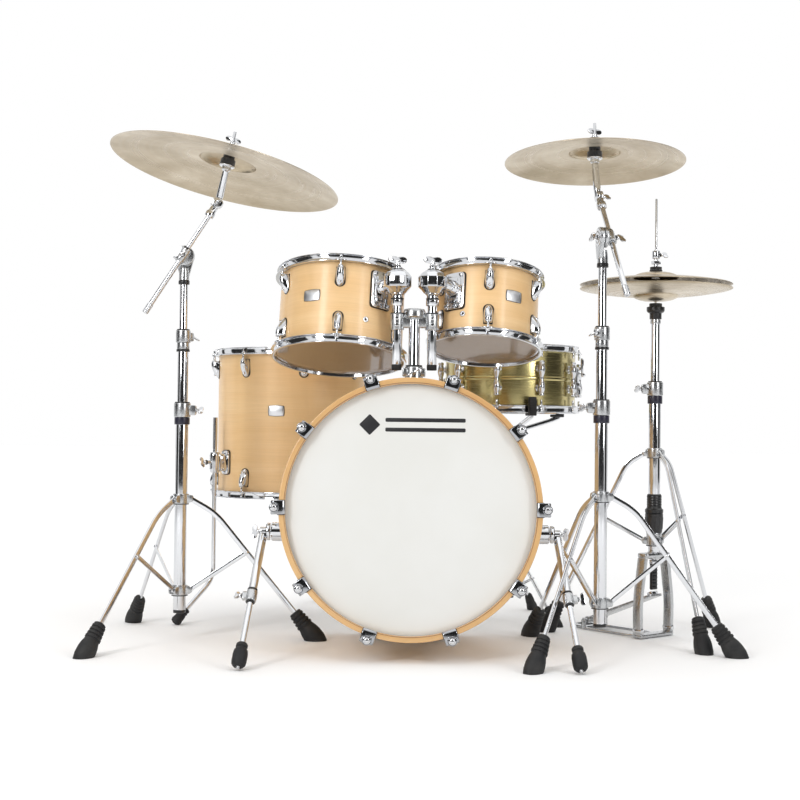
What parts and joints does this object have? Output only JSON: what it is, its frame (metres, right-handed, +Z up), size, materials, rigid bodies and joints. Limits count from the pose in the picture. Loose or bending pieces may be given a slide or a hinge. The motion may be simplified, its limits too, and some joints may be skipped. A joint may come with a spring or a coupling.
{
  "type": "acoustic drum kit",
  "caption": "Acoustic drum kit: bass drum, three maple toms, brass snare, ride, crash and hi-hats on chromed stands, every clamp, tilter, spur and pedal jointed.",
  "frame": {"origin": "bottom centre of the kit's bounding box, on the floor", "axes": "+Z up, -Y toward the audience (bass drum front head), +Y toward the drummer, +X to the hi-hat side"},
  "size_m": [1.5874, 1.2402, 1.258],
  "materials": {
    "maple": "clear satin lacquer",
    "maple_hoop": "clear gloss lacquer",
    "coated_head": "coated white film",
    "clear_head": "clear film",
    "chrome": "polished",
    "brass": "lacquered, brushed",
    "cymbal_bronze": "lathed",
    "rubber": "matte",
    "steel_wire": "plain",
    "cast_aluminium": "polished casting"
  },
  "bodies": {
    "kit_base": {"bass_shell": "maple", "bass_hoops": "maple_hoop", "bass_heads": "coated_head", "bass_lugs": "chrome", "bass_claws": "chrome", "bass_shell_brackets": "chrome", "floor_tom_legs": "chrome", "stand_feet": "rubber", "ride_tripod": "chrome", "crash_tripod": "chrome", "hihat_stand": "chrome", "snare_stand_base": "chrome"},
    "left_spur": {"left_spur_tube": "chrome"},
    "left_spur_leg": {"left_spur_rod": "chrome"},
    "right_spur": {"right_spur_tube": "chrome"},
    "right_spur_leg": {"right_spur_rod": "chrome"},
    "tom_holder": {"tom_holder_post": "chrome"},
    "floor_tom": {"floor_tom_shell": "maple", "floor_tom_heads": "clear_head", "floor_tom_hoops": "chrome", "floor_tom_lugs": "chrome", "floor_tom_leg_brackets": "chrome"},
    "snare_post": {"snare_stand_post": "chrome"},
    "snare": {"snare_basket": "chrome", "snare_shell": "brass", "snare_heads": "coated_head", "snare_hoops": "chrome", "snare_lugs": "chrome", "snare_strainer": "chrome", "snare_wires": "steel_wire"},
    "snare_lever": {"snare_lever": "chrome"},
    "hihat_upper": {"hihat_upper_tube": "chrome", "hihat_bottom_cymbal": "cymbal_bronze"},
    "hihat_pedal": {"hihat_footboard": "cast_aluminium"},
    "hihat_pull": {"hihat_pull_rod": "chrome", "hihat_top_cymbal": "cymbal_bronze"},
    "left_arm": {"left_tom_arm": "chrome"},
    "left_tom": {"left_tom_mount": "chrome", "left_tom_shell": "maple", "left_tom_heads": "clear_head", "left_tom_hoops": "chrome", "left_tom_lugs": "chrome"},
    "right_arm": {"right_tom_arm": "chrome"},
    "right_tom": {"right_tom_mount": "chrome", "right_tom_shell": "maple", "right_tom_heads": "clear_head", "right_tom_hoops": "chrome", "right_tom_lugs": "chrome"},
    "ride_mid": {"ride_mid_tube": "chrome"},
    "ride_upper": {"ride_upper_tube": "chrome"},
    "ride_clamp": {"ride_boom_clamp": "chrome"},
    "ride_boom": {"ride_boom_rod": "chrome"},
    "ride_tilter": {"ride_tilter": "chrome"},
    "ride_cymbal": {"ride_cymbal": "cymbal_bronze"},
    "crash_mid": {"crash_mid_tube": "chrome"},
    "crash_upper": {"crash_upper_tube": "chrome"},
    "crash_clamp": {"crash_boom_clamp": "chrome"},
    "crash_boom": {"crash_boom_rod": "chrome"},
    "crash_tilter": {"crash_tilter": "chrome"},
    "crash_cymbal": {"crash_cymbal": "cymbal_bronze"}
  },
  "joints": [
    {"name": "left_spur_fold", "type": "hinge", "parent": "kit_base", "child": "left_spur", "pos_m": [-0.37715, -0.37571, 0.278], "axis": [1, 0, 0], "range_deg": [0, 85]},
    {"name": "right_spur_fold", "type": "hinge", "parent": "kit_base", "child": "right_spur", "pos_m": [0.29085, -0.37571, 0.278], "axis": [1, 0, 0], "range_deg": [0, 85]},
    {"name": "left_spur_length", "type": "slide", "parent": "left_spur", "child": "left_spur_leg", "axis": [-0.0811, -0.646, -0.759], "range_m": [-0.08, 0.03]},
    {"name": "right_spur_length", "type": "slide", "parent": "right_spur", "child": "right_spur_leg", "axis": [0.0811, -0.646, -0.759], "range_m": [-0.08, 0.03]},
    {"name": "tom_holder_height", "type": "slide", "parent": "kit_base", "child": "tom_holder", "axis": [0, 0, 1], "range_m": [-0.01, 0.06]},
    {"name": "left_tom_swivel", "type": "hinge", "parent": "tom_holder", "child": "left_arm", "pos_m": [-0.07915, -0.27871, 0.863], "axis": [0, 0, 1], "range_deg": [-3, 18]},
    {"name": "left_tom_tilt", "type": "hinge", "parent": "left_arm", "child": "left_tom", "pos_m": [-0.07915, -0.27871, 0.863], "axis": [-0.7437, -0.6686, 0], "range_deg": [-10, 1]},
    {"name": "right_tom_swivel", "type": "hinge", "parent": "tom_holder", "child": "right_arm", "pos_m": [0.00385, -0.27871, 0.863], "axis": [0, 0, 1], "range_deg": [-18, 3]},
    {"name": "right_tom_tilt", "type": "hinge", "parent": "right_arm", "child": "right_tom", "pos_m": [0.00385, -0.27871, 0.863], "axis": [-0.6752, 0.7376, 0], "range_deg": [-10, 1]},
    {"name": "floor_tom_height", "type": "slide", "parent": "kit_base", "child": "floor_tom", "axis": [0, 0, 1], "range_m": [-0.15, 0.05]},
    {"name": "snare_height", "type": "slide", "parent": "kit_base", "child": "snare_post", "axis": [0, 0, 1], "range_m": [-0.06, 0.06]},
    {"name": "snare_tilt", "type": "hinge", "parent": "snare_post", "child": "snare", "pos_m": [0.23285, 0.28529, 0.486], "axis": [0, 1, 0], "range_deg": [-6, 6]},
    {"name": "snare_throw_off", "type": "hinge", "parent": "snare", "child": "snare_lever", "pos_m": [0.42439, 0.23397, 0.667], "axis": [0.2588, 0.9659, 0], "range_deg": [0, 75]},
    {"name": "ride_mid_height", "type": "slide", "parent": "kit_base", "child": "ride_mid", "axis": [0, 0, 1], "range_m": [-0.01, 0.12]},
    {"name": "ride_upper_height", "type": "slide", "parent": "ride_mid", "child": "ride_upper", "axis": [0, 0, 1], "range_m": [-0.01, 0.1]},
    {"name": "ride_boom_tilt", "type": "hinge", "parent": "ride_upper", "child": "ride_clamp", "pos_m": [-0.59915, -0.16871, 0.931], "axis": [0, 1, 0], "range_deg": [-25, 8]},
    {"name": "ride_boom_reach", "type": "slide", "parent": "ride_clamp", "child": "ride_boom", "axis": [0.5402, 0, 0.8415], "range_m": [-0.01, 0.08]},
    {"name": "ride_cymbal_tilt", "type": "hinge", "parent": "ride_boom", "child": "ride_tilter", "pos_m": [-0.51812, -0.18771, 1.05723], "axis": [0, 1, 0], "range_deg": [-15, 6]},
    {"name": "ride_cymbal_spin", "type": "hinge", "parent": "ride_tilter", "child": "ride_cymbal", "pos_m": [-0.49815, -0.20871, 1.125], "axis": [0.207, 0.0955, 0.9737], "continuous": true},
    {"name": "crash_mid_height", "type": "slide", "parent": "kit_base", "child": "crash_mid", "axis": [0, 0, 1], "range_m": [-0.005, 0.12]},
    {"name": "crash_upper_height", "type": "slide", "parent": "crash_mid", "child": "crash_upper", "axis": [0, 0, 1], "range_m": [-0.005, 0.1]},
    {"name": "crash_boom_tilt", "type": "hinge", "parent": "crash_upper", "child": "crash_clamp", "pos_m": [0.39685, -0.33071, 0.965], "axis": [-0.9866, -0.1633, 0], "range_deg": [-25, 5]},
    {"name": "crash_boom_reach", "type": "slide", "parent": "crash_clamp", "child": "crash_boom", "axis": [-0.1052, 0.6355, 0.7649], "range_m": [-0.01, 0.08]},
    {"name": "crash_cymbal_tilt", "type": "hinge", "parent": "crash_boom", "child": "crash_tilter", "pos_m": [0.40034, -0.23546, 1.07591], "axis": [-0.9866, -0.1633, 0], "range_deg": [-15, 4]},
    {"name": "crash_cymbal_spin", "type": "hinge", "parent": "crash_tilter", "child": "crash_cymbal", "pos_m": [0.39185, -0.21871, 1.159], "axis": [0, 0.075, 0.9972], "continuous": true},
    {"name": "hihat_height", "type": "slide", "parent": "kit_base", "child": "hihat_upper", "axis": [0, 0, 1], "range_m": [-0.06, 0]},
    {"name": "hihat_pull", "type": "slide", "parent": "kit_base", "child": "hihat_pull", "axis": [0, 0, -1], "range_m": [0, 0.0085], "stiffness_N_per_m": 600, "springref_m": -0.06},
    {"name": "hihat_pedal_hinge", "type": "hinge", "parent": "kit_base", "child": "hihat_pedal", "pos_m": [0.44996, 0.10274, 0.026], "axis": [0.766, 0.6428, 0], "range_deg": [0, 2.55]}
  ],
  "couplings": [
    {"joint": "hihat_pedal_hinge", "follows": "hihat_pull", "rad_per_m": 5.2307}
  ]
}
